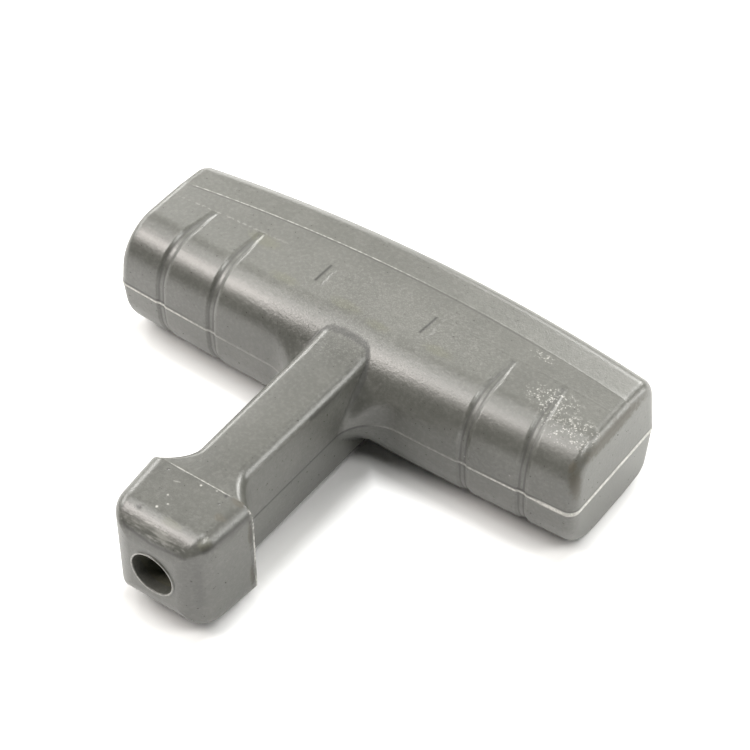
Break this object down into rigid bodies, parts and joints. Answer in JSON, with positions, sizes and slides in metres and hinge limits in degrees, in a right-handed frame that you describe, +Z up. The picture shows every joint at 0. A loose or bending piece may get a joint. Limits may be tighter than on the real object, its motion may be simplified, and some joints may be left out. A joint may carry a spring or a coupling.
{
  "type": "recoil starter handle",
  "caption": "T-shaped moulded recoil starter handle with a bowed grip bar, finger lines, a stem, a square nose with a rope bore and a knot pocket in the palm side.",
  "frame": {"origin": "bottom centre of the bounding box: on the plane the underside of the bar rests on, midway along the bar and midway between the rim of the nose and the palm face", "axes": "+X along the bar, -Y along the rope bore out of the nose, +Y out of the palm side, +Z up, at right angles to the parting plane"},
  "size_m": [0.11, 0.0901, 0.0274],
  "materials": {
    "handle": "satin moulded grey rubber with a dull bloom"
  },
  "bodies": {
    "root": {"handle": "handle"}
  },
  "joints": []
}
